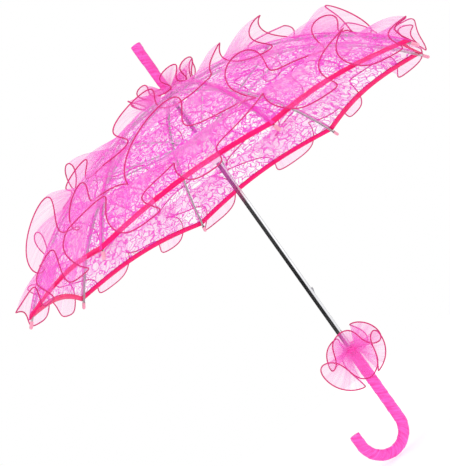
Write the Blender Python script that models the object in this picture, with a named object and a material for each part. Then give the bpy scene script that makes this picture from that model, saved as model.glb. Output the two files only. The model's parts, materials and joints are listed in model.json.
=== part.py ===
"""Lace parasol, open: eight curved ribs, eight stretchers, a sliding runner, a satin-covered crook handle.

Frame: metres, +Z along the shaft towards the ferrule. The origin is on the shaft's axis at the middle of the
grip. The crook opens towards -X, and rib 1 points along +X. Run it with blender --background --python part.py.
"""

import math

import bmesh
import bpy
from mathutils import Matrix, Vector

MM = 0.001
RIBS = 8
GAP = 0.3 * MM  # air left between touching pieces
SECTOR = 2 * math.pi / RIBS
HALF = SECTOR / 2

# Driving dimensions
TIP_RADIUS = 335 * MM  # shaft's axis to a tip's ball
RIM_Z = 320 * MM  # height of the tips above the middle of the grip
DOME_HEIGHT = 153 * MM  # tips to the canopy's crown
FOLD = math.radians(62)  # how far each rib folds down
SHAFT_R = 4.0 * MM
SHAFT_WALL = 0.6 * MM
SHAFT_Z = (14 * MM, 490 * MM)
PIVOT_R = 10 * MM  # the hinge wires' ring radius, on the crown notch and on the runner
WIRE_R = 0.6 * MM
FLANGE_R = 12.5 * MM
SLEEVE_R = 7.7 * MM
FERRULE_TIP_Z = 556 * MM
HANDLE_TOP_Z = 57.5 * MM
BEND_Z = -57.7 * MM  # where the crook starts to turn
BEND_R = 32.2 * MM
CROOK_END = 15 * MM  # straight end after the half turn
CROOK_R = 6.8 * MM
COVER_WALL = 0.7 * MM

# The dome that the ribs and the canopy follow
DOME_R = (TIP_RADIUS**2 + DOME_HEIGHT**2) / (2 * DOME_HEIGHT)
CROWN_Z = RIM_Z + DOME_HEIGHT
DOME_Z = CROWN_Z - DOME_R
TIP_ANGLE = math.asin(TIP_RADIUS / DOME_R)

# Canopy and its outer frill
CLOTH = 1.0 * MM
HEM_BACK = 9.5 * MM  # the hem's corner stops this far before the tip's ball
HEM_RISE = 14 * MM  # how far the hem is cut back between two ribs
CROWN_HOLE_R = 9.0 * MM
FRILL_SEAM = 0.80  # where the frill is sewn on, as a share of the rib's arc
FRILL_PAST_HEM = 12 * MM
FRILL_LIFT = 18 * MM
FRILL_WAVE = 9 * MM
FRILL_WAVES = 3  # per sector

# Ribs, stretchers and their pins
RIB_DEPTH = CLOTH + 1.1 * MM  # the rib's top, below the canopy's outer surface
CHANNEL = (2.4 * MM, 2.6 * MM, 0.5 * MM)  # width, height and wall of the rib's U section
CHANNEL_START_R = 20 * MM
BLADE = 1.4 * MM  # thickness of the flat ends and of the stretchers
EYE_R = 1.9 * MM
PIN_R = 0.75 * MM
JOINT_R = 161 * MM  # shaft's axis to the stretcher's pin
JOINT_DEPTH = 6.4 * MM  # the pin, below the canopy's outer surface
EAR_Y = (1.0 * MM, 1.8 * MM)
STRETCHER_BAR = 2.2 * MM
HOOK_DROP = 3.0 * MM  # the stretcher's bar passes this far under the runner's wire
RIB_END_BACK = 3 * MM

# Runner and its catches
FLANGE_HALF = 3 * MM
SLEEVE_LENGTH = 40 * MM
BORE_R = SHAFT_R + 0.35 * MM
KEYWAY = (6.4 * MM, 3.0 * MM)  # reach and width
CATCH_REACH = 6.0 * MM
CATCH_TOOTH = 12 * MM
CATCH_WIDTH = 1.8 * MM
CATCH_LEAF = 38 * MM

PINK = (0.95, 0.22, 0.66)


def dome_point(angle, depth=0.0):
    """A point of the rib plane at azimuth 0, depth below the canopy's outer surface."""
    radius = DOME_R - depth
    return Vector((radius * math.sin(angle), 0, DOME_Z + radius * math.cos(angle)))


def dome_angle(radius, depth=0.0):
    return math.asin(radius / (DOME_R - depth))


HINGE = Vector((PIVOT_R, 0, dome_point(dome_angle(PIVOT_R), RIB_DEPTH + EYE_R + 0.1 * MM).z))
JOINT = dome_point(dome_angle(JOINT_R, JOINT_DEPTH), JOINT_DEPTH)
LINK = (JOINT - HINGE).length  # rib hinge to pin, and pin to runner: the two are equal
LINK_ANGLE = math.atan2(JOINT.x - HINGE.x, HINGE.z - JOINT.z)  # from straight down, open
RUNNER_Z = HINGE.z - 2 * LINK * math.cos(LINK_ANGLE)
RUNNER_TRAVEL = 2 * LINK * (math.cos(LINK_ANGLE - FOLD) - math.cos(LINK_ANGLE))
RUNNER_FOOT_Z = RUNNER_Z - FLANGE_HALF - SLEEVE_LENGTH
RUNNER_PIVOT = Vector((PIVOT_R, 0, RUNNER_Z))


def material(name, colour, roughness, metallic=0.0):
    made = bpy.data.materials.new(name)
    made.use_nodes = True
    shader = made.node_tree.nodes["Principled BSDF"]
    shader.inputs["Base Color"].default_value = (*colour, 1)
    shader.inputs["Roughness"].default_value = roughness
    shader.inputs["Metallic"].default_value = metallic
    made.diffuse_color = (*colour, 1)
    return made


def mesh_of(points, faces):
    """A mesh with its faces turned outwards."""
    mesh = bpy.data.meshes.new("shape")
    mesh.from_pydata([tuple(p) for p in points], [], faces)
    work = bmesh.new()
    work.from_mesh(mesh)
    bmesh.ops.remove_doubles(work, verts=work.verts, dist=0.001 * MM)
    bmesh.ops.recalc_face_normals(work, faces=work.faces)
    if work.calc_volume(signed=True) < 0:
        bmesh.ops.reverse_faces(work, faces=work.faces)
    work.to_mesh(mesh)
    work.free()
    return mesh


def loft(rings, closed=False):
    """Rings of equal length joined in order, with end caps unless the last joins the first."""
    count = len(rings[0])
    points = [p for ring in rings for p in ring]
    faces = []
    for i in range(len(rings) if closed else len(rings) - 1):
        here, there = i * count, (i + 1) % len(rings) * count
        for k in range(count):
            after = (k + 1) % count
            faces.append((here + k, here + after, there + after, there + k))
    if not closed:
        faces += [tuple(range(count)), tuple(range(len(points) - count, len(points)))]
    return mesh_of(points, faces)


def turned(profile, steps=24):
    """An outline of (radius, z) turned about Z: solid if it starts and ends on the axis, else a ring."""
    turns = [2 * math.pi * i / steps for i in range(steps)]
    if profile[0][0] == 0 and profile[-1][0] == 0:
        return loft([[(r * math.cos(a), r * math.sin(a), z) for a in turns] for r, z in profile[1:-1]])
    return loft(
        [[(r * math.cos(a), r * math.sin(a), z) for r, z in profile] for a in turns], closed=True
    )


def arc(centre, radius, start, end, steps):
    """Points on a circle in the XZ plane, as (x, z); angles in degrees from +X towards +Z."""
    angles = [math.radians(start + (end - start) * i / steps) for i in range(steps + 1)]
    return [(centre[0] + radius * math.cos(a), centre[1] + radius * math.sin(a)) for a in angles]


def plate(outline, low, high):
    """An outline of (x, z) as a plate from y = low to y = high."""
    return loft([[(x, y, z) for x, z in outline] for y in (low, high)])


def rod(centre, radius, length, steps=10):
    """A rod along Y about a centre in the XZ plane."""
    return plate(arc((centre.x, centre.z), radius, 0, 360 * (1 - 1 / steps), steps - 1), -length / 2, length / 2)


def block(x, y, z):
    """A box from pairs of limits."""
    return plate([(x[0], z[0]), (x[1], z[0]), (x[1], z[1]), (x[0], z[1])], *y)


def combined(base, others, operation):
    """The base mesh with others joined to it or cut from it."""
    host = bpy.data.objects.new("host", base)
    bpy.context.collection.objects.link(host)
    helpers = []
    for other in others:
        helper = bpy.data.objects.new("helper", other)
        bpy.context.collection.objects.link(helper)
        change = host.modifiers.new("change", "BOOLEAN")
        change.operation = operation
        change.solver = "EXACT"
        change.object = helper
        helpers.append(helper)
    graph = bpy.context.evaluated_depsgraph_get()
    result = bpy.data.meshes.new_from_object(host.evaluated_get(graph))
    for item in [host, *helpers]:
        bpy.data.objects.remove(item)
    result.materials.clear()
    return result


def place(name, mesh, finish, pivot=Vector((0, 0, 0)), azimuth=0.0):
    """Adds a mesh modelled at azimuth 0 as an object whose origin is its pivot, turned to an azimuth."""
    obj = bpy.data.objects.new(name, mesh)
    bpy.context.collection.objects.link(obj)
    turn = Matrix.Rotation(azimuth, 4, "Z")
    obj.rotation_euler.z = azimuth
    obj.location = turn @ pivot
    if not mesh.materials:
        mesh.transform(Matrix.Translation(-pivot))
        mesh.materials.append(finish)
        mesh.shade_smooth()
        mesh.set_sharp_from_angle(angle=math.radians(35))
    return obj


def place_round(name, mesh, finish, pivot):
    """Eight copies that share a mesh, one at each rib: name_1 to name_8."""
    for k in range(RIBS):
        place(f"{name}_{k + 1}", mesh, finish, pivot, k * SECTOR)


def shaft(finish):
    inner = SHAFT_R - SHAFT_WALL
    low, high = SHAFT_Z
    tube = turned([(inner, low), (SHAFT_R, low), (SHAFT_R, high), (inner, high)])
    slots = [
        block((0.5 * inner, 1.5 * SHAFT_R), (-1.3 * MM, 1.3 * MM), (foot - 1 * MM, foot + CATCH_TOOTH + 1 * MM))
        for foot in catch_feet()
    ]
    place("shaft_tube", combined(tube, slots, "DIFFERENCE"), finish)


def catch_feet():
    """The lowest points of the two catches' teeth: open stop first, then closed stop."""
    open_foot = RUNNER_FOOT_Z - 1 * MM - CATCH_TOOTH
    closed_foot = RUNNER_FOOT_Z - RUNNER_TRAVEL + 10 * MM
    return open_foot, closed_foot


def catches(finish):
    """Leaf springs inside the shaft, whose teeth stand out through its slots."""
    leaf_x = (2.2 * MM, 3.0 * MM)
    for name, foot in zip(("top_catch", "bottom_catch"), catch_feet()):
        head = foot + CATCH_TOOTH
        outline = [
            (leaf_x[0], foot - CATCH_LEAF + CATCH_TOOTH),
            (leaf_x[1], foot - CATCH_LEAF + CATCH_TOOTH),
            (leaf_x[1], foot),
            (CATCH_REACH, head - 3 * MM),
            (CATCH_REACH, head),
            (leaf_x[1] - 0.2 * MM, head),
            (leaf_x[1] - 0.2 * MM, head + 4 * MM),
            (leaf_x[0], head + 4 * MM),
        ]
        pivot = Vector((leaf_x[0], 0, foot))
        place(name, plate(outline, -CATCH_WIDTH / 2, CATCH_WIDTH / 2), finish, pivot)


def slotted_hub(profile, wire_z, low, high):
    """A turned hub with a groove for the hinge wire and a slot for each rib or stretcher."""
    reach = FLANGE_R + 1 * MM
    groove_half = WIRE_R + 0.35 * MM
    groove = turned(
        [
            (PIVOT_R - groove_half, wire_z - groove_half),
            (reach, wire_z - groove_half),
            (reach, wire_z + groove_half),
            (PIVOT_R - groove_half, wire_z + groove_half),
        ]
    )
    slots = []
    for k in range(RIBS):
        slot = block((SLEEVE_R + 0.2 * MM, reach), (-1.1 * MM, 1.1 * MM), (low, high))
        slot.transform(Matrix.Rotation(k * SECTOR, 4, "Z"))
        slots.append(slot)
    return combined(turned(profile, 32), [groove, *slots], "DIFFERENCE")


def wire_ring(name, height, finish):
    """The tied wire that the ribs or the stretchers turn on."""
    section = [(PIVOT_R + x, height + z) for x, z in arc((0, 0), WIRE_R, 0, 300, 5)]
    place(name, turned(section, 24), finish)


def crown_notch(finish, wire_finish):
    low, high = HINGE.z - 6 * MM, HINGE.z + 1.7 * MM
    bore = SHAFT_R + GAP
    profile = [(bore, low), (SLEEVE_R, low), (FLANGE_R, low + 2 * MM), (FLANGE_R, high), (bore, high)]
    place("crown_notch", slotted_hub(profile, HINGE.z, low - 1 * MM, high + 1 * MM), finish)
    wire_ring("notch_wire", HINGE.z, wire_finish)


def runner(finish, wire_finish):
    low, high = RUNNER_Z - FLANGE_HALF, RUNNER_Z + FLANGE_HALF
    profile = [
        (BORE_R, RUNNER_FOOT_Z),
        (SLEEVE_R - 0.6 * MM, RUNNER_FOOT_Z),
        (SLEEVE_R, RUNNER_FOOT_Z + 1 * MM),
        (SLEEVE_R, low),
        (FLANGE_R, low),
        (FLANGE_R, high),
        (SLEEVE_R, high),
        (SLEEVE_R - 0.6 * MM, high + 4 * MM),
        (BORE_R, high + 4 * MM),
    ]
    hub = slotted_hub(profile, RUNNER_Z, low - 1 * MM, high + 1 * MM)
    reach, width = KEYWAY
    keyway = block((1 * MM, reach), (-width / 2, width / 2), (RUNNER_FOOT_Z - 1 * MM, high + 5 * MM))
    window = block(
        (1 * MM, 2 * SLEEVE_R), (-width / 2, width / 2), (RUNNER_FOOT_Z + 8 * MM, RUNNER_FOOT_Z + 24 * MM)
    )
    body = combined(hub, [keyway, window], "DIFFERENCE")
    place("runner", body, finish, Vector((0, 0, RUNNER_Z)))
    wire_ring("runner_wire", RUNNER_Z, wire_finish)


def rib_channel():
    """The U section swept along the dome, open side down."""
    width, height, wall = CHANNEL
    half = width / 2
    section = [
        (-half, 0), (half, 0), (half, height), (half - wall, height),
        (half - wall, wall), (wall - half, wall), (wall - half, height), (-half, height),
    ]  # fmt: skip
    start = dome_angle(CHANNEL_START_R)
    end = TIP_ANGLE - RIB_END_BACK / DOME_R
    steps = 10
    rings = []
    for i in range(steps + 1):
        angle = start + (end - start) * i / steps
        ring = []
        for y, depth in section:
            point = dome_point(angle, RIB_DEPTH + depth)
            ring.append((point.x, y, point.z))
        rings.append(ring)
    return loft(rings)


def rib_tongue():
    """The rib's flattened inner end, with the eye that turns on the notch's wire."""
    top = [dome_point(dome_angle(r), RIB_DEPTH + 0.3 * MM) for r in (15 * MM, 21 * MM, 27 * MM)]
    low = [dome_point(dome_angle(r), RIB_DEPTH + 2.6 * MM) for r in (27 * MM, 21 * MM, 15 * MM)]
    outline = arc((HINGE.x, HINGE.z), EYE_R, 40, 320, 8)[::-1] + [(p.x, p.z) for p in top + low]
    return plate(outline, -BLADE / 2, BLADE / 2)


def rib_ears():
    """The clip's two cheeks, which hold the stretcher's pin under the rib."""
    top = JOINT.z + JOINT_DEPTH - RIB_DEPTH - 0.3 * MM
    outline = [(JOINT.x + 3.6 * MM, top - 1.3 * MM), (JOINT.x - 3.6 * MM, top)]
    outline += arc((JOINT.x, JOINT.z), 2 * MM, 200, 340, 4)
    inner, outer = EAR_Y
    return [plate(outline, inner, outer), plate(outline, -outer, -inner)]


def ribs(finish, pin_finish):
    body = combined(rib_channel(), [rib_tongue(), *rib_ears()], "UNION")
    holes = [rod(HINGE, WIRE_R + 0.35 * MM, 4 * MM), rod(JOINT, PIN_R + GAP, 8 * MM)]
    place_round("rib", combined(body, holes, "DIFFERENCE"), finish, HINGE)

    outer = EAR_Y[1] + GAP
    head = outer + 0.5 * MM
    pin = turned(
        [(0, -head), (1.5 * MM, -head), (1.5 * MM, -outer), (PIN_R, -outer),
         (PIN_R, outer), (1.5 * MM, outer), (1.5 * MM, head), (0, head)],
        8,
    )  # fmt: skip
    pin.transform(Matrix.Translation(JOINT) @ Matrix.Rotation(math.pi / 2, 4, "X"))
    place_round("joint_pin", pin, pin_finish, JOINT)


def stretchers(finish):
    """Flat bars from the rib's pin to a hook that cradles the runner's wire from below."""
    along = (JOINT - RUNNER_PIVOT).normalized()
    under = Vector((along.z, 0, -along.x))

    def at(run, drop):
        point = RUNNER_PIVOT + along * run * MM + under * drop * MM
        return point.x, point.z

    drop, half = HOOK_DROP / MM, STRETCHER_BAR / MM / 2
    reach = LINK / MM
    turn = math.degrees(math.atan2(along.z, along.x))
    eye = arc((JOINT.x, JOINT.z), 2 * MM, turn + 145, turn - 145, 8)
    outline = [at(-1.9, 0.0), at(-1.05, 0.0), at(-1.05, drop - half - 0.5), at(-0.6, drop - half)]
    outline += [at(reach - 14, drop - half), at(reach - 6, 0 - half), *eye]
    outline += [at(reach - 6, half), at(reach - 14, drop + half), at(-1.0, drop + half), at(-1.9, drop)]
    bar = plate(outline, -BLADE / 2, BLADE / 2)
    place_round("stretcher", combined(bar, [rod(JOINT, PIN_R + GAP, 4 * MM)], "DIFFERENCE"), finish, JOINT)


def rib_tips(finish):
    """Ball-ended caps pushed over the ends of the ribs."""
    ball, neck, bore = 2.4 * MM, 2.4 * MM, 2.1 * MM
    length, seat = 8 * MM, 2.2 * MM
    outer = arc((0, 0), ball, 0, 72, 4)
    profile = [(0, -seat), (bore, -seat), (bore, -length), (neck, -length), *outer, (0, ball)]
    cap = turned(profile, 10)
    centre = dome_point(TIP_ANGLE, RIB_DEPTH + CHANNEL[1] / 2)
    cap.transform(Matrix.Translation(centre) @ Matrix.Rotation(math.pi / 2 + TIP_ANGLE, 4, "Y"))
    place_round("rib_tip", cap, finish, HINGE)


def gore_point(angle, turn, lift):
    """A point on the stretched cloth: straight across from rib to rib, lift above its outer surface."""
    flat = math.cos(HALF) / math.cos(HALF - abs(turn))
    radius = (DOME_R + lift) * math.sin(angle) * flat
    return Vector((radius * math.cos(turn), radius * math.sin(turn), DOME_Z + (DOME_R + lift) * math.cos(angle)))


def hem_angle(turn):
    """Where the hem is cut: at the rib it nearly reaches the tip, and between ribs it is cut back."""
    share = 1 - (1 - abs(turn) / HALF) ** 2
    return TIP_ANGLE - (HEM_BACK + HEM_RISE * share) / DOME_R


def cloth_sector(surface, rows, columns, thick):
    """A closed sheet over one sector, from surface(across, along, lift), with both in 0 to 1."""
    edge = 1 - 0.25 * MM / (TIP_RADIUS * HALF * 0.5)
    points = []
    for lift in (0.0, -thick):
        for j in range(columns + 1):
            across = (2 * j / columns - 1) * edge * HALF
            points += [surface(across, i / rows, lift) for i in range(rows + 1)]
    below = len(points) // 2
    faces = []
    for j in range(columns):
        for i in range(rows):
            a, d = j * (rows + 1) + i, (j + 1) * (rows + 1) + i
            for corners in ((a, a + 1, d + 1), (a, d + 1, d)):
                faces.append(corners)
                faces.append(tuple(c + below for c in corners))
    rim = [i for i in range(rows)]
    rim += [j * (rows + 1) + rows for j in range(columns)]
    rim += [columns * (rows + 1) + i for i in range(rows, 0, -1)]
    rim += [j * (rows + 1) for j in range(columns, 0, -1)]
    for here, there in zip(rim, rim[1:] + rim[:1]):
        faces.append((here, there, there + below, here + below))
    return mesh_of(points, faces)


def canopy(finish):
    start = dome_angle(CROWN_HOLE_R)

    def surface(turn, share, lift):
        narrow = turn * (1 - 0.09 * (1 - share) ** 6)
        return gore_point(start + (hem_angle(turn) - start) * share, narrow, lift)

    place_round("canopy_panel", cloth_sector(surface, 10, 6, CLOTH), finish, HINGE)


def frill(finish):
    """The gathered strip sewn on above the hem, flaring out in soft waves."""
    seam = FRILL_SEAM * TIP_ANGLE
    base = CLOTH + GAP + 0.2 * MM

    def surface(turn, share, lift):
        end = hem_angle(turn) + FRILL_PAST_HEM / DOME_R
        wave = FRILL_WAVE * math.cos(math.pi * FRILL_WAVES * (turn / HALF + 1))
        return gore_point(seam + (end - seam) * share, turn, base + lift + share * (FRILL_LIFT + wave))

    place_round("frill", cloth_sector(surface, 2, 18, CLOTH), finish, HINGE)


def ferrule(core_finish, cover_finish):
    """The spike over the shaft's end, whose flange clamps the canopy, and its satin sleeve."""
    bore, seat = SHAFT_R + GAP, SHAFT_Z[1] + 1 * MM
    foot, flange_top = CROWN_Z + GAP, CROWN_Z + 2.3 * MM
    low_r, high_r = 5.4 * MM, 6.5 * MM
    tip = FERRULE_TIP_Z - COVER_WALL - GAP
    core = turned(
        [(0, seat), (bore, seat), (bore, foot), (FLANGE_R, foot),
         (FLANGE_R, flange_top - 0.8 * MM), (FLANGE_R - 0.8 * MM, flange_top), (low_r, flange_top),
         (high_r, tip), (0, tip)]
    )  # fmt: skip
    place("ferrule_spike", core, core_finish)
    low = flange_top + GAP
    wall = GAP + COVER_WALL
    cover = turned(
        [(0, tip + GAP), (high_r + GAP, tip + GAP), (low_r + GAP, low), (low_r + wall, low),
         (high_r + wall, FERRULE_TIP_Z - 0.9 * MM), (high_r + wall - 0.9 * MM, FERRULE_TIP_Z),
         (0, FERRULE_TIP_Z)]
    )  # fmt: skip
    place("ferrule_cover", cover, cover_finish)


def crook_path(start_z, past_end, bend_steps=14):
    """The handle's centreline from the top down, with the direction at each point."""
    path = [(Vector((0, 0, start_z)), Vector((0, 0, -1)))]
    path.append((Vector((0, 0, (start_z + BEND_Z) / 2)), Vector((0, 0, -1))))
    centre = Vector((-BEND_R, 0, BEND_Z))
    for i in range(bend_steps + 1):
        a = math.pi * i / bend_steps
        spot = centre + BEND_R * Vector((math.cos(a), 0, -math.sin(a)))
        path.append((spot, Vector((-math.sin(a), 0, -math.cos(a)))))
    path.append((Vector((-2 * BEND_R, 0, BEND_Z + CROOK_END + past_end)), Vector((0, 0, 1))))
    return path


def ring_round(spot, direction, radius, sides=14):
    """A circle in the plane square to a direction that lies in the XZ plane."""
    side = Vector((0, 1, 0))
    other = direction.cross(side)
    turns = [2 * math.pi * k / sides for k in range(sides)]
    return [spot + radius * (math.cos(a) * side + math.sin(a) * other) for a in turns]


def handle(core_finish, cover_finish):
    core = loft([ring_round(p, d, CROOK_R) for p, d in crook_path(HANDLE_TOP_Z, 0)])
    socket_foot = SHAFT_Z[0] - GAP
    socket = turned(
        [(0, socket_foot), (SHAFT_R + GAP, socket_foot),
         (SHAFT_R + GAP, HANDLE_TOP_Z + 1 * MM), (0, HANDLE_TOP_Z + 1 * MM)]
    )  # fmt: skip
    place("handle_crook", combined(core, [socket], "DIFFERENCE"), core_finish)
    inner = [ring_round(p, d, CROOK_R + GAP) for p, d in crook_path(HANDLE_TOP_Z, GAP)]
    outer = [ring_round(p, d, CROOK_R + GAP + COVER_WALL) for p, d in crook_path(HANDLE_TOP_Z, GAP + COVER_WALL)]
    place("handle_cover", loft(inner[::-1] + outer), cover_finish)


def handle_frill(finish):
    """The gathered rosette at the handle's top: one flare up the shaft and one down over the grip."""
    neck, thick = CROOK_R + COVER_WALL + 2 * GAP, 1 * MM
    neck_z = HANDLE_TOP_Z - 6 * MM
    steps, lobes = 40, 5
    rings = []
    for k in range(steps):
        a = 2 * math.pi * k / steps
        wave = 0.5 + 0.5 * math.cos(lobes * a)
        up = (26 * MM + 14 * MM * wave, neck_z + 40 * MM)
        down = (34 * MM + 14 * MM * (1 - wave), neck_z - 50 * MM)
        inner = [up, (neck, neck_z + 4 * MM), (neck, neck_z - 4 * MM), down]
        outer = [(r + thick, z) for r, z in inner[::-1]]
        rings.append([(r * math.cos(a), r * math.sin(a), z) for r, z in inner + outer])
    place("handle_frill", loft(rings, closed=True), finish)


def main():
    for obj in list(bpy.data.objects):
        bpy.data.objects.remove(obj)
    steel = material("polished_steel", (0.60, 0.60, 0.63), 0.2, 1.0)
    wire = material("tied_wire", (0.45, 0.45, 0.47), 0.35, 1.0)
    plastic = material("white_plastic", (0.85, 0.82, 0.84), 0.4)
    tip_plastic = material("tip_plastic", (0.95, 0.62, 0.75), 0.35)
    satin = material("satin", PINK, 0.35)
    lace = material("lace", (0.98, 0.45, 0.85), 0.8)
    organza = material("organza", (1.0, 0.62, 0.80), 0.6)

    shaft(steel)
    catches(steel)
    crown_notch(plastic, wire)
    runner(plastic, wire)
    ribs(steel, wire)
    stretchers(steel)
    rib_tips(tip_plastic)
    canopy(lace)
    frill(organza)
    ferrule(plastic, satin)
    handle(plastic, satin)
    handle_frill(organza)


main()
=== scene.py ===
"""The looks of the lace parasol: lace canopy, satin hem, organza frills, satin-wrapped ferrule and crook.

Everything is in metres in the row frame: +Z up the shaft, the crook towards -X, rib 1 along +X.
"""

import json
import math

import bpy
from mathutils import Matrix, Vector


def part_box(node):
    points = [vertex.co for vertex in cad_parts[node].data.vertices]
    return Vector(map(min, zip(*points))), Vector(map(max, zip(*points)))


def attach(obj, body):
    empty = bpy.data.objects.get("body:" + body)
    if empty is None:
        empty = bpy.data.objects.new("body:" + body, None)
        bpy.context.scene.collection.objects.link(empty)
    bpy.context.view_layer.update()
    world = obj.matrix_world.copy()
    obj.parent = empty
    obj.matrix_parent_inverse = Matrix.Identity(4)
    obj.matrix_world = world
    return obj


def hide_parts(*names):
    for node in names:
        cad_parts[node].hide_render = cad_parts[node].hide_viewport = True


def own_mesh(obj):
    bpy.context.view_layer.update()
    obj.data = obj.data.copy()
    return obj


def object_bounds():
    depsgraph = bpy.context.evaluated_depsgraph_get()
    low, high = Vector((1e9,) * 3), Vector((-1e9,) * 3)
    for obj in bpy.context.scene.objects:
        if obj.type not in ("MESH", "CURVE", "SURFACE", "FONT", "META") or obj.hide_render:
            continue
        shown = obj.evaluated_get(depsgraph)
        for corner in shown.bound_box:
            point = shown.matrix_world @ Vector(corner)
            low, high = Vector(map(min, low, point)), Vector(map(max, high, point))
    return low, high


MM = 0.001
RIBS = 8
SECTOR = 2 * math.pi / RIBS
HALF = SECTOR / 2

# Colours, linear
LACE = (0.98, 0.140, 0.960)
LACE_DEEP = (0.98, 0.120, 0.900)
LACE_CORD = (0.86, 0.070, 0.560)
SEAM_DEEP = (1.0, 0.05, 0.42)
ORGANZA = (1.0, 0.270, 0.790)
ORGANZA_DEEP = (1.0, 0.195, 0.700)
THREAD = (0.58, 0.026, 0.150)
THREAD_LIGHT = (0.74, 0.045, 0.240)
# the ribbon and the satin each have a darker colour painted as shade in their creases and a lighter colour
# painted as a sheen highlight along their threads
RIBBON = (1.0, 0.004, 0.190)
RIBBON_CREASE_SHADE = (0.84, 0.001, 0.120)
RIBBON_SHEEN_HIGHLIGHT = (1.0, 0.04, 0.32)
SATIN = (1.0, 0.110, 0.620)
SATIN_CREASE_SHADE = (0.84, 0.020, 0.360)
SATIN_SHEEN_HIGHLIGHT = (1.0, 0.36, 0.84)
STEEL = (0.66, 0.66, 0.68)
RIB_STEEL = (0.62, 0.56, 0.59)
WIRE = (0.45, 0.45, 0.47)
HUB = (0.86, 0.80, 0.83)
TIP = (0.90, 0.34, 0.48)

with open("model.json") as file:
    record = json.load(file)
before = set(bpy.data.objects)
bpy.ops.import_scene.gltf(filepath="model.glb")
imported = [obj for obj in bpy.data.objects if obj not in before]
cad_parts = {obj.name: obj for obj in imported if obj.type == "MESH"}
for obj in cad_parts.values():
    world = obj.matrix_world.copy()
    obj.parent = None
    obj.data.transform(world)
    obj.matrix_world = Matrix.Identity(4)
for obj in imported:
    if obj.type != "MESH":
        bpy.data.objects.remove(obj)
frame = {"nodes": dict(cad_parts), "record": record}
cad_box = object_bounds()

# ---------------------------------------------------------------- the dome, worked out from the frame

BALL_R = 2.4 * MM  # the ball at the end of a rib tip
TIP_DEPTH = 3.5 * MM  # the tip's centre, below the cloth's outer surface
tip_low, tip_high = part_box("rib_tip_1")
tip_r = tip_high.x - BALL_R
tip_z = tip_low.z + BALL_R
CROWN_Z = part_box("canopy_panel_1")[1].z
drop = tip_z - CROWN_Z
DOME_R = (tip_r**2 + drop**2 - TIP_DEPTH**2) / (-2 * (drop + TIP_DEPTH))  # of the sphere through the ribs
DOME_Z = CROWN_Z - DOME_R
TIP_ANGLE = math.asin(tip_r / (DOME_R - TIP_DEPTH))
ARC = DOME_R * TIP_ANGLE  # along a rib, from the crown to its tip
HEM_SHORT = 9.5 * MM  # the hem ends this far before a rib's tip
HEM_SCOOP = 14 * MM  # and is cut back this much more between two ribs
PAST_HEM = 17 * MM  # the frills reach no further past the hem than this
CLOTH = -0.5 * MM  # the lace lies in the middle of the panels' thickness
HANG = Vector((-0.56, 0.17, -0.81))  # the way loose cloth hangs, as the parasol is held leaning


def off_rib(azimuth):
    """How far an azimuth is turned from the nearest rib's."""
    return abs(azimuth - round(azimuth / SECTOR) * SECTOR)


def dome(angle, azimuth, lift=0.0):
    """A point on the cloth, which runs straight from rib to rib, lift above its outer surface."""
    flat = math.cos(HALF) / math.cos(HALF - off_rib(azimuth))
    radius = (DOME_R + lift) * math.sin(angle) * flat
    height = DOME_Z + (DOME_R + lift) * math.cos(angle)
    return Vector((radius * math.cos(azimuth), radius * math.sin(azimuth), height))


def hem_angle(azimuth):
    """The hem nearly reaches each tip, and is cut back between two ribs."""
    share = 1 - (1 - off_rib(azimuth) / HALF) ** 2
    return TIP_ANGLE - (HEM_SHORT + HEM_SCOOP * share) / DOME_R


# ---------------------------------------------------------------- meshes


def new_object(name, points, faces, finish, uv=None, smooth=True):
    """A mesh piece; uv(face, corner) gives a corner's place on the cloth as it was cut."""
    mesh = bpy.data.meshes.new(name)
    mesh.from_pydata([tuple(p) for p in points], [], faces)
    mesh.update()
    if uv is not None:
        layer = mesh.uv_layers.new(name="cut")
        for polygon in mesh.polygons:
            for corner, loop in enumerate(polygon.loop_indices):
                layer.data[loop].uv = uv(polygon.index, corner)
    mesh.materials.append(finish)
    obj = bpy.data.objects.new(name, mesh)
    bpy.context.collection.objects.link(obj)
    if smooth:
        mesh.shade_smooth()
    return obj


def grid(name, columns, rows, point, finish, uv=None, wrap=False):
    """A surface through point(i, j), with uv(i, j, face) on the cut cloth; wrap closes it into a ring."""
    wide = columns if wrap else columns + 1
    points = [point(i, j) for i in range(wide) for j in range(rows + 1)]
    faces = []
    places = []
    for i in range(columns):
        for j in range(rows):
            a, b = i * (rows + 1) + j, (i + 1) % wide * (rows + 1) + j
            faces.append((a, b, b + 1, a + 1))
            places.append((i, j))
    corners = ((0, 0), (1, 0), (1, 1), (0, 1))

    def cut(face, corner):
        i, j = places[face]
        right, down = corners[corner]
        return uv(i + right, j + down, places[face])

    return new_object(name, points, faces, finish, cut if uv else None)


def tube(name, path, radius, finish, sides=8, closed=False):
    """A round tube along a path, without twist."""
    count = len(path)
    tangents = []
    for i in range(count):
        before = path[(i - 1) % count] if closed else path[max(i - 1, 0)]
        after = path[(i + 1) % count] if closed else path[min(i + 1, count - 1)]
        tangents.append((after - before).normalized())
    normal = tangents[0].orthogonal().normalized()
    points = []
    for i in range(count):
        normal = (normal - tangents[i] * normal.dot(tangents[i])).normalized()
        other = tangents[i].cross(normal)
        for k in range(sides):
            a = 2 * math.pi * k / sides
            points.append(path[i] + radius * (math.cos(a) * normal + math.sin(a) * other))
    faces = []
    for i in range(count if closed else count - 1):
        for k in range(sides):
            a, b = i * sides + k, i * sides + (k + 1) % sides
            c, d = (i + 1) % count * sides + (k + 1) % sides, (i + 1) % count * sides + k
            faces.append((a, b, c, d))
    return new_object(name, points, faces, finish)


# ---------------------------------------------------------------- materials

WEAVE = 7.4  # radians of the organza's weave in a millimetre


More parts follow.
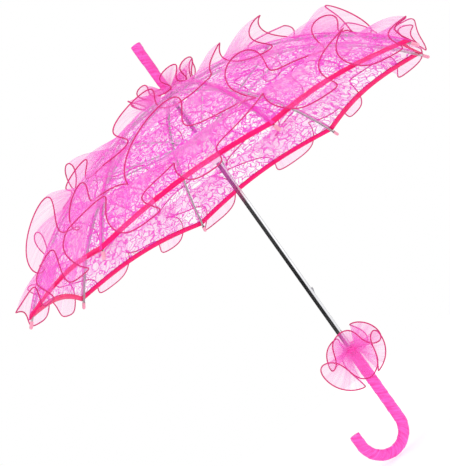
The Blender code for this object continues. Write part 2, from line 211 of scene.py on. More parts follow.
class Nodes:
    """A short way to write a material's nodes."""

    def __init__(self, name):
        self.material = bpy.data.materials.new(name)
        self.material.use_nodes = True
        self.tree = self.material.node_tree
        self.tree.nodes.clear()

    def add(self, kind, inputs=None, **settings):
        node = self.tree.nodes.new(kind)
        for key, value in settings.items():
            setattr(node, key, value)
        for key, value in (inputs or {}).items():
            self.put(node.inputs[key], value)
        return node

    def put(self, socket, value):
        """Sets an input to a value, or links it to another node's output."""
        if isinstance(value, bpy.types.NodeSocket):
            self.tree.links.new(value, socket)
        else:
            socket.default_value = value

    def math(self, operation, a, b=0.0, c=0.0, clamp=False):
        node = self.add("ShaderNodeMath", {0: a, 1: b, 2: c}, operation=operation, use_clamp=clamp)
        return node.outputs[0]

    def vector(self, operation, a, b=(0, 0, 0)):
        second = "Scale" if operation == "SCALE" else 1
        node = self.add("ShaderNodeVectorMath", {0: a, second: b}, operation=operation)
        return node.outputs["Value" if operation == "LENGTH" else "Vector"]

    def scale(self, value, low, high, to_low, to_high):
        """The value taken from low..high to to_low..to_high, and held at the ends."""
        ends = {"From Min": low, "From Max": high, "To Min": to_low, "To Max": to_high}
        return self.add("ShaderNodeMapRange", {"Value": value, **ends}, clamp=True).outputs[0]

    def below(self, value, limit, soft):
        """1 where value is under limit, falling to 0 over soft."""
        return self.scale(value, limit, limit + soft, 1.0, 0.0)

    def mix(self, share, a, b):
        """From colour a at 0 to colour b at 1."""
        inputs = {0: share, 6: self.opaque(a), 7: self.opaque(b)}
        return self.add("ShaderNodeMix", inputs, data_type="RGBA").outputs[2]

    def opaque(self, colour):
        return (*colour, 1) if isinstance(colour, tuple) else colour

    def plane(self, x, y):
        """A place on the flat from its two coordinates."""
        return self.add("ShaderNodeCombineXYZ", {0: x, 1: y}).outputs[0]

    def split(self, place):
        return self.add("ShaderNodeSeparateXYZ", {0: place}).outputs

    def noise(self, where, scale, detail=2.0, rough=0.5, colour=False):
        node = self.add(
            "ShaderNodeTexNoise",
            {"Vector": where, "Scale": scale, "Detail": detail, "Roughness": rough},
        )
        return node.outputs["Color" if colour else "Fac"]

    def bump(self, height, strength, distance):
        node = self.add(
            "ShaderNodeBump", {"Height": height, "Strength": strength, "Distance": distance}
        )
        return node.outputs[0]

    def shader(self, colour, rough, bump=None, metal=0.0, sheen=0.0, coat=0.0, specular=0.5):
        node = self.add("ShaderNodeBsdfPrincipled")
        self.put(node.inputs["Base Color"], self.opaque(colour))
        self.put(node.inputs["Roughness"], rough)
        node.inputs["Metallic"].default_value = metal
        node.inputs["Sheen Weight"].default_value = sheen
        node.inputs["Sheen Roughness"].default_value = 0.4
        node.inputs["Coat Weight"].default_value = coat
        node.inputs["Specular IOR Level"].default_value = specular
        if bump is not None:
            self.put(node.inputs["Normal"], bump)
        return node

    def finish(self, shader):
        self.add("ShaderNodeOutputMaterial", {"Surface": shader})
        return self.material

    def cloth(self, colour, rough, alpha, through=0.4, bump=None, sheen=0.05):
        """A thin cloth: part of the light passes through the threads, and the gaps are clear."""
        body = self.shader(colour, rough, bump, sheen=sheen, specular=0.2)
        glow = self.add("ShaderNodeBsdfTranslucent", {"Color": self.opaque(colour)})
        both = self.add("ShaderNodeMixShader", {0: through, 1: body.outputs[0], 2: glow.outputs[0]})
        clear = self.add("ShaderNodeBsdfTransparent")
        shown = self.add("ShaderNodeMixShader", {0: alpha, 1: clear.outputs[0], 2: both.outputs[0]})
        return self.finish(shown.outputs[0])


def cut_in_mm(nodes):
    """A place on the cut cloth, in millimetres."""
    uv = nodes.add("ShaderNodeUVMap", uv_map="cut").outputs[0]
    return nodes.vector("SCALE", uv, 1 / MM)


def cut_in_mm_parts(nodes):
    """The same place, as its first and second coordinate."""
    return nodes.split(cut_in_mm(nodes))[:2]


def flowers(n, where, pitch, petals, reach):
    """Petalled shapes: how far inside the outline, how far from the heart, and the wave of the petals."""
    cells = n.add(
        "ShaderNodeTexVoronoi",
        {"Vector": where, "Scale": 1 / pitch, "Randomness": 0.75},
        voronoi_dimensions="2D",
        feature="F1",
    )
    centre = n.vector("SCALE", cells.outputs["Position"], pitch)
    local = n.split(n.vector("SUBTRACT", where, centre))
    angle = n.math("ARCTAN2", local[1], local[0])
    chance = n.add("ShaderNodeSeparateColor", {0: cells.outputs["Color"]}).outputs
    spin = n.math("MULTIPLY_ADD", chance[0], 6.28, angle)
    wave = n.math("COSINE", n.math("MULTIPLY", spin, float(petals)))
    size = n.scale(chance[1], 0.0, 1.0, 0.75 * reach, 1.15 * reach)
    outline = n.math("MULTIPLY", size, n.math("MULTIPLY_ADD", wave, 0.24, 0.76))
    away = n.vector("LENGTH", n.plane(local[0], local[1]))
    return n.math("SUBTRACT", outline, away), away, wave


def web(n, where, pitch, width, soft):
    """Cords along the edges between scattered cells a pitch apart."""
    cells = n.add(
        "ShaderNodeTexVoronoi",
        {"Vector": where, "Scale": 1 / pitch, "Randomness": 1.0},
        voronoi_dimensions="2D",
        feature="DISTANCE_TO_EDGE",
    )
    return n.below(n.math("MULTIPLY", cells.outputs["Distance"], pitch), width, soft)


def wandering(n, place, scale, detail, far):
    """The place moved about by up to half of far, so that straight lines curl."""
    drift = n.vector("SUBTRACT", n.noise(place, scale, detail, colour=True), (0.5, 0.5, 0.5))
    return n.vector("SCALE", drift, far)


def lace_material():
    """Machine lace: flowers and leaves joined by looping cords on an open net. Sizes are in mm."""
    n = Nodes("lace")
    place = cut_in_mm(n)
    bent = n.vector("ADD", place, wandering(n, place, 0.045, 1.0, 16.0))
    curly = n.vector("ADD", bent, wandering(n, place, 0.10, 0.0, 15.0))

    inside, away, wave = flowers(n, bent, pitch=38.0, petals=5, reach=12.5)
    bloom = n.below(n.math("MULTIPLY", inside, -1.0), 0.0, 0.5)
    rim = n.below(n.math("ABSOLUTE", inside), 0.55, 0.35)
    vein = n.below(n.math("ABSOLUTE", wave), 0.16, 0.12)
    heart = n.below(n.math("ABSOLUTE", n.math("SUBTRACT", away, 2.6)), 0.5, 0.3)
    beside = n.vector("ADD", bent, (11.0, 6.6, 0))
    inside_leaf = flowers(n, beside, pitch=23.0, petals=3, reach=6.5)[0]
    leaf = n.below(n.math("MULTIPLY", inside_leaf, -1.0), 0.0, 0.4)
    leaf_rim = n.below(n.math("ABSOLUTE", inside_leaf), 0.4, 0.3)

    cord = web(n, curly, pitch=11.5, width=0.52, soft=0.32)
    long_cord = web(n, n.vector("ADD", curly, (37.0, 19.0, 0)), pitch=16.0, width=0.54, soft=0.34)
    net = web(n, place, pitch=2.3, width=0.16, soft=0.14)
    scatter = n.scale(n.noise(place, 0.060, 2.0), 0.48, 0.60, 0.0, 1.0)
    netting = n.math("MULTIPLY", net, n.scale(scatter, 0.0, 1.0, 0.05, 0.70))

    solid = n.math("MULTIPLY", bloom, 0.66)
    for part in (rim, n.math("MULTIPLY", n.math("MULTIPLY", bloom, vein), 0.95), heart):
        solid = n.math("MAXIMUM", solid, part)
    solid = n.math("MAXIMUM", solid, n.math("MULTIPLY", leaf, 0.66))
    lines = n.math("MAXIMUM", n.math("MAXIMUM", cord, long_cord), n.math("MAXIMUM", rim, leaf_rim))
    alpha = n.math("MAXIMUM", solid, n.math("MULTIPLY", lines, 0.90))
    alpha = n.math("MAXIMUM", alpha, netting, clamp=True)
    patchy = n.noise(place, 0.03, 2.0)
    base = n.mix(n.scale(patchy, 0.35, 0.65, 0.0, 1.0), LACE, LACE_DEEP)
    colour = n.mix(n.math("MULTIPLY", lines, 0.8), base, LACE_CORD)
    height = n.math("MULTIPLY_ADD", lines, 0.6, n.math("MULTIPLY", solid, 0.4))
    grain = n.noise(place, 2.4, 2.0)
    bump = n.bump(n.math("MULTIPLY_ADD", grain, 0.35, height), 0.6, 0.5 * MM)
    return n.cloth(colour, n.scale(grain, 0.3, 0.7, 0.55, 0.8), alpha, 0.45, bump)


def seam_material():
    """Two layers of lace and a tape, so nearly closed."""
    n = Nodes("seam_cloth")
    place = cut_in_mm(n)
    grain = n.noise(place, 0.9, 2.0)
    alpha = n.scale(grain, 0.3, 0.6, 0.45, 0.85)
    tone = n.mix(grain, LACE, SEAM_DEEP)
    return n.cloth(tone, 0.7, alpha, 0.4, n.bump(grain, 0.5, 0.5 * MM))


def organza_material(name, near=0.58, far=0.22):
    """Crisp sheer organza: a fine weave, denser and creased at the seam, near, than at the edge, far."""
    n = Nodes(name)
    across, along = cut_in_mm_parts(n)
    streak = n.noise(n.plane(across, n.math("MULTIPLY", along, 0.06)), 0.20, 3.0, 0.6)
    fine = n.noise(n.plane(across, n.math("MULTIPLY", along, 0.04)), 0.8, 2.0, 0.6)
    gathered = n.scale(along, 0.0, 38.0, near, far)
    fading = n.scale(along, 0, 60, 1.0, 0.40)
    pleat = n.math("MULTIPLY", n.scale(streak, 0.38, 0.68, -0.08, 0.26), fading)
    weft = n.math("SINE", n.math("MULTIPLY", across, WEAVE))
    warp = n.math("SINE", n.math("MULTIPLY", along, WEAVE))
    weave = n.math("MULTIPLY", n.math("MULTIPLY", weft, warp), 0.05)
    alpha = n.math("ADD", n.math("ADD", gathered, pleat), weave, clamp=True)
    colour = n.mix(n.scale(streak, 0.3, 0.7, 0.0, 1.0), ORGANZA, ORGANZA_DEEP)
    height = n.math("MULTIPLY_ADD", fine, 0.5, n.math("ADD", streak, weave))
    bump = n.bump(height, 0.45, 1.2 * MM)
    return n.cloth(colour, n.scale(fine, 0.3, 0.7, 0.30, 0.48), alpha, 0.5, bump, sheen=0.12)


def satin_material(name, colour, dark, light, twist=0.0, gloss=0.35):
    """Satin: fine crosswise threads slanting by twist, a soft sheen, and shallow crease folds. The crease
    folds' shade is painted darker into the colour, and a sheen highlight is painted lighter along some
    threads.
    """
    n = Nodes(name)
    across, along = cut_in_mm_parts(n)
    slant = n.math("MULTIPLY_ADD", across, twist, along)
    woven = n.plane(n.math("MULTIPLY", across, 0.15), slant)
    threads = n.noise(woven, 2.6, 2.0, 0.6)
    creases_and_shade = n.noise(woven, 0.28, 3.0, 0.55)
    # painted shade: the colour darkens in the crease folds
    tone = n.mix(n.scale(creases_and_shade, 0.36, 0.64, 0.0, 1.0), dark, colour)
    # painted sheen highlight: the colour lightens along some threads
    tone = n.mix(n.scale(threads, 0.4, 0.7, 0.0, 0.22), tone, light)
    bump = n.bump(n.math("MULTIPLY_ADD", threads, 0.3, creases_and_shade), 0.35, 1.0 * MM)
    body = n.shader(tone, n.scale(threads, 0.3, 0.7, 0.26, 0.42), bump, specular=gloss)
    body.inputs["Anisotropic"].default_value = 0.4
    return n.finish(body.outputs[0])


def thread_material():
    """The rolled edge of the frills: matt thread, a little lighter in places."""
    n = Nodes("thread")
    at = n.add("ShaderNodeTexCoord").outputs["Object"]
    twist = n.noise(at, 900.0, 1.0)
    tone = n.mix(n.scale(twist, 0.3, 0.7, 0.0, 1.0), THREAD, THREAD_LIGHT)
    bump = n.bump(twist, 0.5, 0.3 * MM)
    return n.finish(n.shader(tone, 0.6, bump, specular=0.15).outputs[0])


def metal_material(name, colour, low, high, metal=1.0):
    """Drawn or polished metal: faint lines along it, and small smudges. Roughness runs from low to high."""
    n = Nodes(name)
    at = n.add("ShaderNodeTexCoord").outputs["Object"]
    stretched = n.add("ShaderNodeMapping", {"Vector": at, "Scale": (1.0, 1.0, 0.03)}).outputs[0]
    lines = n.noise(stretched, 400.0, 2.0)
    smudge = n.noise(at, 60.0, 3.0)
    tone = n.mix(n.scale(smudge, 0.4, 0.7, 0.0, 0.35), colour, tuple(0.7 * c for c in colour))
    rough = n.math("ADD", n.scale(lines, 0.3, 0.7, low, high), n.scale(smudge, 0.4, 0.8, 0.0, 0.08))
    bump = n.bump(lines, 0.04, 0.2 * MM)
    return n.finish(n.shader(tone, rough, bump, metal=metal).outputs[0])


def plastic_material(name, colour, low, high, coat=0.0):
    """Moulded plastic: a very slight orange peel, and a change of tone. Roughness runs from low to high."""
    n = Nodes(name)
    at = n.add("ShaderNodeTexCoord").outputs["Object"]
    peel = n.noise(at, 700.0, 2.0)
    cloud = n.noise(at, 45.0, 2.0)
    tone = n.mix(n.scale(cloud, 0.35, 0.65, 0.0, 0.4), colour, tuple(0.82 * c for c in colour))
    bump = n.bump(peel, 0.15, 0.2 * MM)
    return n.finish(n.shader(tone, n.scale(cloud, 0.3, 0.7, low, high), bump, coat=coat).outputs[0])


lace = lace_material()
seam_cloth = seam_material()
organza = organza_material("organza")
frill_organza = organza_material("frill_organza", near=0.85, far=0.24)
ribbon = satin_material("ribbon", RIBBON, RIBBON_CREASE_SHADE, RIBBON_SHEEN_HIGHLIGHT, gloss=0.12)
satin = satin_material("satin", SATIN, SATIN_CREASE_SHADE, SATIN_SHEEN_HIGHLIGHT, twist=0.45)
thread = thread_material()
steel = metal_material("polished_steel", STEEL, 0.05, 0.11)
rib_steel = metal_material("rib_steel", RIB_STEEL, 0.25, 0.38, metal=0.4)
wire = metal_material("tied_wire", WIRE, 0.25, 0.4)
hub_plastic = plastic_material("hub_plastic", HUB, 0.35, 0.5)
tip_plastic = plastic_material("tip_plastic", TIP, 0.22, 0.35, coat=0.3)

# ---------------------------------------------------------------- the canopy

LACE_START = 9 * MM  # from the shaft's axis
LACE_SAG = 2.5 * MM  # how far the lace sinks between two ribs
HEM_WIDTH = 7.6 * MM
SEAM_HALF = 2.6 * MM  # half the seam's width


def follow_rib(obj, index, slot_name):
    """The piece turns with its rib."""
    azimuth = index * SECTOR
    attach(obj, f"rib_body_{index + 1}")
    anchor = tuple(dome(0.5 * TIP_ANGLE, azimuth))
    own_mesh(obj)


def edge_length(points):
    """The length of a line through the points."""
    return sum((b - a).length for a, b in zip(points, points[1:]))


def canopy_sector(index):
    """Lace from half way to one neighbour to half way to the other, with the gores' seam on the rib."""
    middle = index * SECTOR
    columns, rows = 24, 40
    start = math.asin(LACE_START / DOME_R)

    def where(i, j):
        azimuth = middle + (2 * i / columns - 1) * HALF
        return azimuth, start + (hem_angle(azimuth) - start) * j / rows

    def point(i, j):
        azimuth, angle = where(i, j)
        turn = azimuth - middle
        sag = math.sin(math.pi * abs(turn) / SECTOR) ** 2 * math.sin(math.pi * j / rows)
        return dome(angle, azimuth, CLOTH - LACE_SAG * sag)

    def uv(i, j, face):
        azimuth, angle = where(i, j)
        gore = index if face[0] >= columns // 2 else index - 1
        gore_middle = (gore + 0.5) * SECTOR
        apart = 0.41 * (gore % RIBS)  # each gore is cut from its own stretch of lace
        return apart + DOME_R * math.sin(angle) * (azimuth - gore_middle), DOME_R * angle

    obj = grid(f"lace_sector_{index + 1}", columns, rows, point, lace, uv)
    width = (point(columns, rows) - point(columns // 2, rows)).length * 2
    area = sum(p.area for p in obj.data.polygons)
    return obj, (width, ARC), area


def hem_ribbon(index):
    """The satin ribbon folded over the edge of the lace, slightly rippled where it is stitched."""
    middle = index * SECTOR
    columns, outside, inside, ripple = 32, 0.35 * MM, -1.3 * MM, 0.25 * MM
    half = 0.5 * HEM_WIDTH
    rows = [(HEM_WIDTH, outside), (half, outside), (0.0, outside)]
    rows += [(0.0, inside), (half, inside), (HEM_WIDTH, inside)]

    def azimuth_at(i):
        return middle + (2 * i / columns - 1) * HALF

    def point(i, j):
        azimuth = azimuth_at(i)
        back, lift = rows[j]
        lift += ripple * math.sin(RIBS * 9 * azimuth + 1.3) * back / HEM_WIDTH
        return dome(hem_angle(azimuth) - back / DOME_R, azimuth, lift)

    def uv(i, j, face):
        under = 20 * MM if j > 2 else 0.0
        return DOME_R * math.sin(TIP_ANGLE) * azimuth_at(i), rows[j][0] + under

    return grid(f"hem_ribbon_{index + 1}", columns, len(rows) - 1, point, ribbon, uv)


def rib_seam(index):
    """The doubled lace where two gores are sewn together over a rib."""
    azimuth = index * SECTOR
    rows = 40
    start, end = math.asin(12 * MM / DOME_R), hem_angle(azimuth)
    across = (-1.0, -0.5, 0.0, 0.5, 1.0)

    def angle_at(j):
        return start + (end - start) * j / rows

    def point(i, j):
        angle = angle_at(j)
        turn = math.atan2(across[i] * SEAM_HALF, DOME_R * math.sin(angle))
        bulge = 0.7 * MM * (1 - across[i] ** 2)
        return dome(angle, azimuth + turn, 0.25 * MM + bulge)

    def uv(i, j, face):
        return across[i] * SEAM_HALF + 0.07 * index, DOME_R * angle_at(j)

    return grid(f"rib_seam_{index + 1}", len(across) - 1, rows, point, seam_cloth, uv)


for k in range(RIBS):
    sector, flat, area = canopy_sector(k)
    hem = hem_ribbon(k)
    seam = rib_seam(k)
    for piece, slot_name in ((sector, "lace"), (hem, "satin"), (seam, "lace")):
        follow_rib(piece, k, slot_name)
    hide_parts(f"canopy_panel_{k + 1}")

# ---------------------------------------------------------------- the frills

EDGE_R = 0.9 * MM  # of a rolled thread edge


class Tier:
    """One gathered strip of organza round the canopy."""

    columns, rows = 80, 14  # of one rib's share
    sag = 8 * MM  # how far the free edge hangs down

    def __init__(self, name, seam, width, waves, sway, stand, crest, lean, phase):
        self.name = name
        self.seam = seam  # share of the rib's arc where it is sewn on
        self.width = width  # from the seam to the free edge
        self.waves = waves  # folds round the canopy
        self.sway = sway  # how far the edge swings along the ribs
        self.stand = stand  # how far the edge stands off, at the least
        self.crest = crest  # how much further it stands off at a fold
        self.lean = lean  # how far a fold leans over sideways
        self.phase = phase

    def fold(self, azimuth):
        """Where in its fold the strip is, and how large the folds are there. Both vary round the canopy."""
        p = self.phase
        turn = self.waves * azimuth + 0.95 * math.sin(3 * azimuth + p)
        turn += 0.60 * math.sin(7 * azimuth + 2.1 * p)
        return turn, 0.72 + 0.28 * math.sin(5 * azimuth + 1.7 * p)

    def reach(self, azimuth, v, turn, size):
        """How far down the rib from the seam a point lies, held back a little past the hem."""
        grow = v**1.25
        reach = self.width * v - grow * self.sway * size * math.cos(turn - 0.6)
        reach += grow * 0.30 * self.sway * math.sin(2 * turn + 2.3 * self.phase)
        past_hem = self.seam * ARC + reach - DOME_R * hem_angle(azimuth)
        if past_hem > 0:
            reach += PAST_HEM * math.tanh(past_hem / PAST_HEM) - past_hem
        return reach

    def lift(self, azimuth, v, turn, size):
        """How far a point stands off the lace: small pleats at the seam, and a crest at each fold."""
        crest = 0.5 + 0.5 * math.cos(turn)
        swell = math.sin(0.5 * math.pi * v) ** 1.1
        pleats = math.sin(13 * self.waves * azimuth + 2 * math.sin(9 * azimuth))
        lift = self.stand * v**0.8 + self.crest * size * swell * crest**1.4
        return lift + 1.1 * MM * pleats * (1 - v) ** 2 * min(1.0, 6 * v)

    def point(self, azimuth, v):
        """A point of the strip, from the seam at v = 0 to the free edge at v = 1."""
        turn, size = self.fold(azimuth)
        lift = self.lift(azimuth, v, turn, size)
        angle = (self.seam * ARC + self.reach(azimuth, v, turn, size)) / DOME_R
        grow = v**1.25
        side = self.lean * size * grow * math.sin(2 * turn + 0.5)
        radius = max(DOME_R * math.sin(angle), 20 * MM)
        out = dome(angle, azimuth, 1.0) - dome(angle, azimuth, 0.0)
        hang = HANG - out * min(HANG.dot(out), 0.0) / out.length_squared
        return dome(angle, azimuth + side / radius, 0.7 * MM + lift) + self.sag * grow * size * hang

    def edge(self, start, end, steps):
        """The free edge from one azimuth to another."""
        return [self.point(start + (end - start) * i / steps, 1.0) for i in range(steps + 1)]


def cut_length(obj, columns, rows):
    """The strip's length before it was gathered, taken along the line two thirds of the way out."""
    line = [obj.data.vertices[i * (rows + 1) + 2 * rows // 3].co for i in range(columns)]
    return edge_length(line)


def rolled_edge(name, path, closed=False):
    """The free edge of a frill, rolled and oversewn with thread."""
    return tube(name, path, EDGE_R, thread, 6, closed)


def tier_sector(tier, index):
    """One rib's share of a tier, and its rolled thread edge."""
    start = (index - 0.5) * SECTOR
    columns, rows = tier.columns, tier.rows
    edge = tier.edge(start, start + SECTOR, columns * 2)
    length = edge_length(edge)

    def point(i, j):
        return tier.point(start + SECTOR * i / columns, j / rows)

    def uv(i, j, face):
        return index * length + length * i / columns, tier.width * j / rows

    obj = grid(f"{tier.name}_{index + 1}", columns, rows, point, organza, uv)
    trim = rolled_edge(f"{tier.name}_edge_{index + 1}", edge)
    for piece in (obj, trim):
        follow_rib(piece, index, "organza")
    return obj, trim, (cut_length(obj, columns, rows), tier.width)


# name, seam, width, waves, sway, stand, crest, lean, phase
TIERS = [
    Tier("outer_frill", 0.79, 62 * MM, 16, 30 * MM, 2 * MM, 45 * MM, 23 * MM, 0.7),
    Tier("middle_frill", 0.545, 76 * MM, 13, 30 * MM, 2 * MM, 41 * MM, 24 * MM, 2.2),
    Tier("upper_frill", 0.30, 78 * MM, 9, 28 * MM, 3 * MM, 36 * MM, 20 * MM, 3.9),
]

for tier in TIERS:
    for k in range(RIBS):
        piece, trim, flat = tier_sector(tier, k)
        if tier.name == "outer_frill":
            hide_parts(f"frill_{k + 1}")


def crown_frill():
    """The small gathered collar round the foot of the ferrule."""
    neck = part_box("ferrule_cover")[0].z
    width = 41 * MM
    columns, rows, waves = 180, 10, 8

    def point(i, j):
        a, v = 2 * math.pi * i / columns, j / rows
        turn = waves * a + 0.8 * math.sin(2 * a + 1)
        radius = 7.4 * MM + 38 * MM * v + 9 * MM * v * math.sin(turn + 1)
        rise = neck + 3 * MM + 20 * MM * v * (1 - 0.70 * v) + 12 * MM * v**1.3 * math.cos(turn)
        side = 8 * MM * v * math.sin(2 * turn + 0.4)
        b = a + side / radius
        return Vector((radius * math.cos(b), radius * math.sin(b), rise))

    edge = [point(i, rows) for i in range(columns)]
    length = edge_length(edge + edge[:1])

    def uv(i, j, face):
        return length * i / columns, width * j / rows

    obj = grid("crown_frill", columns, rows, point, frill_organza, uv, wrap=True)
    trim = rolled_edge("crown_frill_edge", edge, closed=True)
    for piece in (obj, trim):
        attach(piece, "frame")
    flat = (cut_length(obj, columns, rows), width)


crown_frill()

# ---------------------------------------------------------------- ferrule and handle

FERRULE_FOOT_R = 6.4 * MM
END_CAP = 0.8 * MM  # how far the ferrule's rounded end rises
WRAP_PITCH = 15 * MM  # of the ribbon wound round the crook
CROOK_ROUND = 5 * MM  # the satin narrows a little over this length at the crook's end


def ferrule():
    """The satin sleeve of the ferrule, its cloth wrapped round at a slant and tucked in at the end."""
    low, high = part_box("ferrule_cover")
    foot, top, top_r = low.z, high.z, high.x
    columns, rows = 64, 60
    length = top - foot
    sleeve = 0.9  # share of the rows along the sleeve; the rest close its end

    def point(i, j):
        a, v = 2 * math.pi * i / columns, j / rows
        if v <= sleeve:
            share = v / sleeve
            radius = FERRULE_FOOT_R + (top_r - FERRULE_FOOT_R) * share - 0.35 * MM
            height = foot + (length - END_CAP) * share
            wrap = (a / (2 * math.pi) - 2.2 * share) % 1.0
            radius += 0.45 * MM * wrap**3 + 0.12 * MM * math.sin(3 * a + 14 * share)
        else:
            turn = (v - sleeve) / (1 - sleeve) * math.pi / 2
            radius = max((top_r - 0.35 * MM) * max(math.cos(turn), 0.0) ** 0.7, 0.02 * MM)
            height = top - END_CAP + END_CAP * math.sin(turn)
        return Vector((radius * math.cos(a), radius * math.sin(a), height))

    def uv(i, j, face):
        return 42 * MM * i / columns, length * j / rows

    obj = grid("ferrule_satin", columns, rows, point, satin, uv, wrap=True)
    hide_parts("ferrule_cover")
    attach(obj, "frame")


def crook_path(line_steps, bend_steps, tail_steps):
    """The handle's centreline from the top: each point, its direction and how far along it lies."""
    low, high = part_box("handle_crook")
    core = (high.y - low.y) / 2
    bend_r = -(low.x + core) / 2
    bend_z = low.z + core + bend_r
    top = high.z
    hook_end = next(m for m in frame["record"]["mounts"] if m["name"] == "hook_end")
    end = hook_end["pos_m"][2] - 1 * MM
    path = []
    for i in range(line_steps + 1):
        z = top + (bend_z - top) * i / line_steps
        path.append((Vector((0, 0, z)), Vector((0, 0, -1)), top - z))
    run = top - bend_z
    centre = Vector((-bend_r, 0, bend_z))
    for i in range(1, bend_steps + 1):
        a = math.pi * i / bend_steps
        spot = centre + bend_r * Vector((math.cos(a), 0, -math.sin(a)))
        path.append((spot, Vector((-math.sin(a), 0, -math.cos(a))), run + bend_r * a))
    run += bend_r * math.pi
    for i in range(1, tail_steps + 1):
        z = bend_z + (end - bend_z) * i / tail_steps
        path.append((Vector((-2 * bend_r, 0, z)), Vector((0, 0, 1)), run + z - bend_z))
    return path


def handle():
    """The satin of the crook, a ribbon wound round it with each turn lapping the last."""
    low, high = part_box("handle_cover")
    outer = (high.y - low.y) / 2
    path = crook_path(70, 70, 10)
    total = path[-1][2]
    sides, cap_rings = 40, 6

    def point(i, j):
        a = 2 * math.pi * i / sides
        if j < len(path):
            spot, direction, run = path[j]
            wrap = (run / WRAP_PITCH - a / (2 * math.pi)) % 1.0
            radius = outer - 0.45 * MM + 0.5 * MM * wrap**2
            radius += 0.10 * MM * math.sin(2 * a + 90 * run)
            radius -= 0.2 * MM * max(0.0, 1 - (total - run) / CROOK_ROUND) ** 2
        else:
            turn = (j - len(path) + 1) / cap_rings * math.pi / 2
            spot, direction, run = path[-1]
            radius = max((outer - 0.5 * MM) * max(math.cos(turn), 0.0) ** 0.55, 0.02 * MM)
            spot = spot + direction * 1.0 * MM * math.sin(turn)
        side = Vector((0, 1, 0))
        other = direction.cross(side)
        return spot + radius * (math.cos(a) * side + math.sin(a) * other)

    def uv(i, j, face):
        run = path[min(j, len(path) - 1)][2] + max(0, j - len(path)) * 2 * MM
        return 2 * math.pi * outer * i / sides, run

    obj = grid("handle_satin", sides, len(path) + cap_rings - 1, point, satin, uv, wrap=True)
    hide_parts("handle_cover")
    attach(obj, "frame")


def flare(name, neck, reach, level, swing, start):
    """Broad organza petals tied in at the neck. Its edge runs down one petal and up the next."""
    columns, rows = 216, 18

    def rim(a):
        turn = 3 * a + 0.35 * math.sin(a + start)
        climb = math.radians(level + swing * math.cos(turn))
        far = reach * (1.0 - 0.10 * math.cos(turn) + 0.12 * math.sin(a + 2 * start))
        b = a + start + math.sin(2 * turn) / 6
        out = 8 * MM + far * math.cos(climb)
        return Vector((out * math.cos(b), out * math.sin(b), far * math.sin(climb))), climb

    def point(i, j):
        a, v = 2 * math.pi * i / columns, j / rows
        end, climb = rim(a)
        pleat = 0.8 * MM * (1 - v) * math.sin(24 * a)
        side = Vector((math.cos(a + start), math.sin(a + start), 0))
        tied = side * (8.4 * MM + pleat)
        throat = side * 13 * MM + Vector((0, 0, 0.45 * reach * math.sin(climb)))
        spot = (1 - v) ** 2 * tied + 2 * v * (1 - v) * throat + v * v * end
        crease = 1.2 * MM * math.sin(11 * a + 2 * math.sin(3 * a)) * v * (1 - v) * 4
        return spot + Vector((0, 0, neck)) + crease * side

    edge = [point(i, rows) for i in range(columns)]
    length = edge_length(edge + edge[:1])
    width = reach * 1.05

    def uv(i, j, face):
        return length * i / columns, width * j / rows

    obj = grid(name, columns, rows, point, frill_organza, uv, wrap=True)
    trim = rolled_edge(name + "_edge", edge, closed=True)
    for piece in (obj, trim):
        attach(piece, "frame")
    flat = (cut_length(obj, columns, rows), width)
    return obj


def rosette_tie(neck):
    """The creased satin band that ties the rosette in."""
    columns, rows, width = 64, 8, 8 * MM

    def point(i, j):
        a, v = 2 * math.pi * i / columns, j / rows
        radius = 8.9 * MM + 0.7 * MM * math.sin(math.pi * v) + 0.25 * MM * math.sin(17 * a)
        return Vector((radius * math.cos(a), radius * math.sin(a), neck + width * (v - 0.5)))

    def uv(i, j, face):
        return 55 * MM * i / columns, width * j / rows

    tie = grid("rosette_tie", columns, rows, point, satin, uv, wrap=True)
    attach(tie, "frame")


def handle_frill():
    """The rosette at the handle's top: one flare up and one down, with a tie round the middle."""
    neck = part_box("handle_cover")[1].z - 6 * MM
    upper = flare("rosette_up", neck, 31 * MM, 26, 42, 2.2)
    flare("rosette_down", neck, 43 * MM, -36, 44, -0.75)
    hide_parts("handle_frill")
    rosette_tie(neck)


ferrule()
handle()
handle_frill()

# ---------------------------------------------------------------- the metal and plastic pieces

FINISHES = {
    "shaft_tube": steel,
    "top_catch": wire,
    "bottom_catch": wire,
    "notch_wire": wire,
    "runner_wire": wire,
    "crown_notch": hub_plastic,
    "runner": hub_plastic,
    "ferrule_spike": hub_plastic,
    "handle_crook": hub_plastic,
}
for k in range(RIBS):
    FINISHES[f"rib_{k + 1}"] = rib_steel
    FINISHES[f"stretcher_{k + 1}"] = rib_steel
    FINISHES[f"joint_pin_{k + 1}"] = wire
    FINISHES[f"rib_tip_{k + 1}"] = tip_plastic
for name, finish in FINISHES.items():
    for slot in frame["nodes"][name].material_slots:
        slot.material = finish

# ---------------------------------------------------------------- floor, light and camera

FLOOR_R = 1.7
FLOOR_DROP = 2 * MM  # below the object's lowest point
LENS = 118.6  # mm, on a sensor 36 mm wide
CAMERA_AT = (-0.484, -2.005, 0.152)
CAMERA_RIGHT = (0.805, -0.139, -0.577)
CAMERA_BACK = (-0.211, -0.976, -0.061)
SOFT_FROM = (-0.35, -0.78, 0.52)  # the room is brightest this way for cloth
BRIGHT_SIDE = (0.906, -0.423, 0.0)  # and this way for what metal mirrors
WHITE = (1, 1, 1, 1)


def stage_floor():
    """A round pale floor in a white room."""
    low = cad_box[0][2] - FLOOR_DROP
    n = Nodes("pale_floor")
    body = n.shader((0.60, 0.60, 0.60), 0.8, specular=0.1)
    body.inputs["Emission Color"].default_value = WHITE
    body.inputs["Emission Strength"].default_value = 0.50
    finish = n.finish(body.outputs[0])
    sides = 64
    turns = [2 * math.pi * i / sides for i in range(sides)]
    points = [(FLOOR_R * math.cos(a), FLOOR_R * math.sin(a), low) for a in turns]
    new_object("floor", points, [tuple(range(sides))], finish, smooth=False)


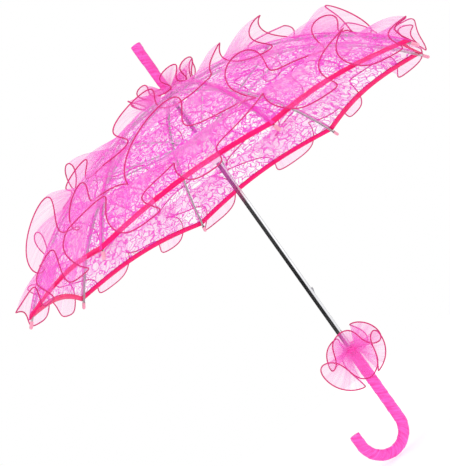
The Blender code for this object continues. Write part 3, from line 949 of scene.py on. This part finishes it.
def world_light():
    """A white room, with a soft gradient for cloth, and a dark and a bright side for what metal mirrors."""
    world = bpy.data.worlds.new("studio")
    bpy.context.scene.world = world
    world.use_nodes = True
    tree = world.node_tree
    tree.nodes.clear()

    def add(kind, **settings):
        node = tree.nodes.new(kind)
        for key, value in settings.items():
            setattr(node, key, value)
        return node

    link = tree.links.new
    where = add("ShaderNodeTexCoord").outputs["Generated"]
    rays = add("ShaderNodeLightPath")

    def lit_from(direction, stops):
        """Grey levels by how far a direction points to the given one, from -1 to 1."""
        dot = add("ShaderNodeVectorMath", operation="DOT_PRODUCT")
        dot.inputs[1].default_value = direction
        link(where, dot.inputs[0])
        half = add("ShaderNodeMath", operation="MULTIPLY_ADD")
        half.inputs[1].default_value = 0.5
        half.inputs[2].default_value = 0.5
        link(dot.outputs["Value"], half.inputs[0])
        ramp = add("ShaderNodeValToRGB")
        elements = ramp.color_ramp.elements
        while len(elements) < len(stops):
            elements.new(0.5)
        for element, (position, value) in zip(elements, stops):
            element.position = position
            element.color = (value, value, value, 1)
        link(half.outputs[0], ramp.inputs[0])
        return ramp.outputs[0]

    def choose(share, a, b):
        node = add("ShaderNodeMix", data_type="RGBA")
        link(share, node.inputs[0])
        for socket, value in ((node.inputs[6], a), (node.inputs[7], b)):
            if isinstance(value, tuple):
                socket.default_value = value
            else:
                link(value, socket)
        return node.outputs[2]

    mirrored = lit_from(BRIGHT_SIDE, ((0.0, 0.02), (0.74, 0.02), (0.79, 1.3), (1.0, 1.3)))
    parts = add("ShaderNodeSeparateXYZ")
    link(where, parts.inputs[0])
    height = add("ShaderNodeMath", operation="ABSOLUTE")
    link(parts.outputs[2], height.inputs[0])
    mirrored = choose(height.outputs[0], mirrored, (0.85, 0.85, 0.85, 1))
    soft = lit_from(SOFT_FROM, ((0.0, 0.36), (1.0, 1.22)))
    level = choose(rays.outputs["Is Diffuse Ray"], WHITE, soft)
    level = choose(rays.outputs["Is Glossy Ray"], level, mirrored)
    light = add("ShaderNodeBackground")
    link(level, light.inputs["Color"])
    out = add("ShaderNodeOutputWorld")
    link(light.outputs[0], out.inputs[0])


def area_light(name, spot, target, size, power):
    """A round soft light at a spot, pointed at a target."""
    data = bpy.data.lights.new(name, "AREA")
    data.shape = "DISK"
    data.size = size
    data.energy = power
    obj = bpy.data.objects.new(name, data)
    bpy.context.collection.objects.link(obj)
    obj.location = spot
    obj.rotation_euler = (Vector(target) - Vector(spot)).to_track_quat("-Z", "Y").to_euler()


def photo_camera():
    """A long lens from the front, rolled so that the parasol leans over."""
    data = bpy.data.cameras.new("camera")
    data.sensor_width = 36.0
    data.lens = LENS
    data.clip_start = 0.05
    data.clip_end = 60.0
    obj = bpy.data.objects.new("camera", data)
    bpy.context.collection.objects.link(obj)
    right = Vector(CAMERA_RIGHT).normalized()
    back = Vector(CAMERA_BACK)
    back = (back - right * back.dot(right)).normalized()
    up = back.cross(right)
    turn = Matrix((right, up, back)).transposed().to_4x4()
    obj.matrix_world = Matrix.Translation(CAMERA_AT) @ turn
    bpy.context.scene.camera = obj


stage_floor()
world_light()
area_light("key", (-1.6, -1.9, 2.0), (0, 0, 0.35), 1.4, 12.0)
area_light("fill", (1.9, -1.5, 0.9), (0, 0, 0.3), 1.6, 4.0)
area_light("back", (0.4, 2.0, 1.5), (0, 0, 0.35), 1.4, 6.0)
photo_camera()
bpy.context.scene.view_settings.view_transform = "Standard"
bpy.context.scene.cycles.transparent_max_bounces = 32
